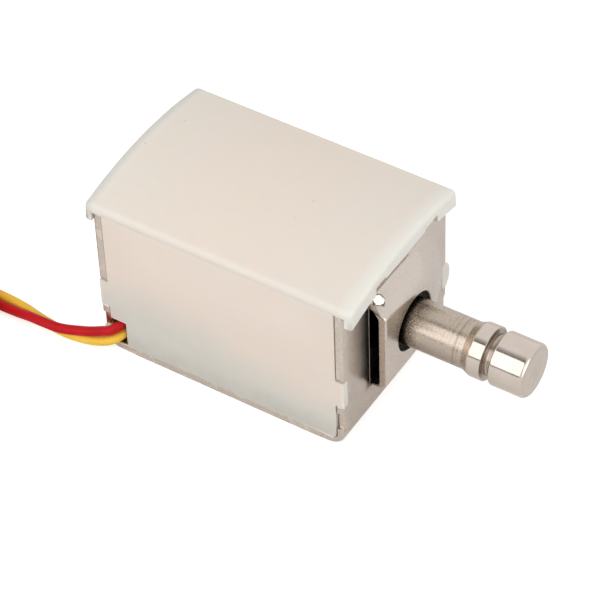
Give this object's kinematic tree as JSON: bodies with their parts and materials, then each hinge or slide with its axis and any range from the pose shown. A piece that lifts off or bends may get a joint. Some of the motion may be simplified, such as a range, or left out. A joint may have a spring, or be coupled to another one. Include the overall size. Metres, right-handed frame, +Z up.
{
  "type": "solenoid cabinet lock",
  "caption": "Frame solenoid lock: a bent steel frame with a raised hood, a clip-on arched cover, a coil, and a spring-loaded round bolt that draws in when powered.",
  "frame": {"origin": "centre of the base's underside, midway between the two mounting holes", "axes": "+X along the bolt towards its tip, +Y across the frame, +Z up from the base to the arched cover"},
  "size_m": [0.0977, 0.048, 0.0287],
  "materials": {
    "plated_sheet_steel": "satin",
    "cover_plastic": "satin",
    "bolt_steel": "turned",
    "clip_steel": "blackened",
    "damper_rubber": "matte",
    "spring_wire": "bright",
    "core_steel": "turned",
    "brass": "satin",
    "bobbin_plastic": "matte",
    "enamelled_wire": "gloss",
    "coil_tape": "gloss",
    "insulating_card": "matte",
    "solder": "bright",
    "red_insulation": "satin",
    "yellow_insulation": "satin",
    "coiled_insulation": "satin",
    "tie_plastic": "satin",
    "tinned_strands": "bright"
  },
  "bodies": {
    "lock_body": {"frame": "plated_sheet_steel", "cover": "cover_plastic", "return_spring": "spring_wire", "fixed_core": "core_steel", "core_shim": "brass", "guide_tube": "brass", "bobbin": "bobbin_plastic", "winding": "enamelled_wire", "coil_tape": "coil_tape", "insulating_card": "insulating_card", "terminal_pins": "brass", "solder_joints": "solder", "red_lead": "red_insulation", "yellow_lead": "yellow_insulation", "lead_coil": "coiled_insulation", "coil_tie": "tie_plastic", "lead_tips": "tinned_strands"},
    "bolt_body": {"bolt": "bolt_steel", "stop_clip": "clip_steel", "damper_washer": "damper_rubber"}
  },
  "joints": [
    {"name": "bolt_slide", "type": "slide", "parent": "lock_body", "child": "bolt_body", "axis": [1, 0, 0], "range_m": [-0.006, 0], "stiffness_N_per_m": 200, "springref_m": 0.005, "deforming": ["return_spring"]}
  ]
}
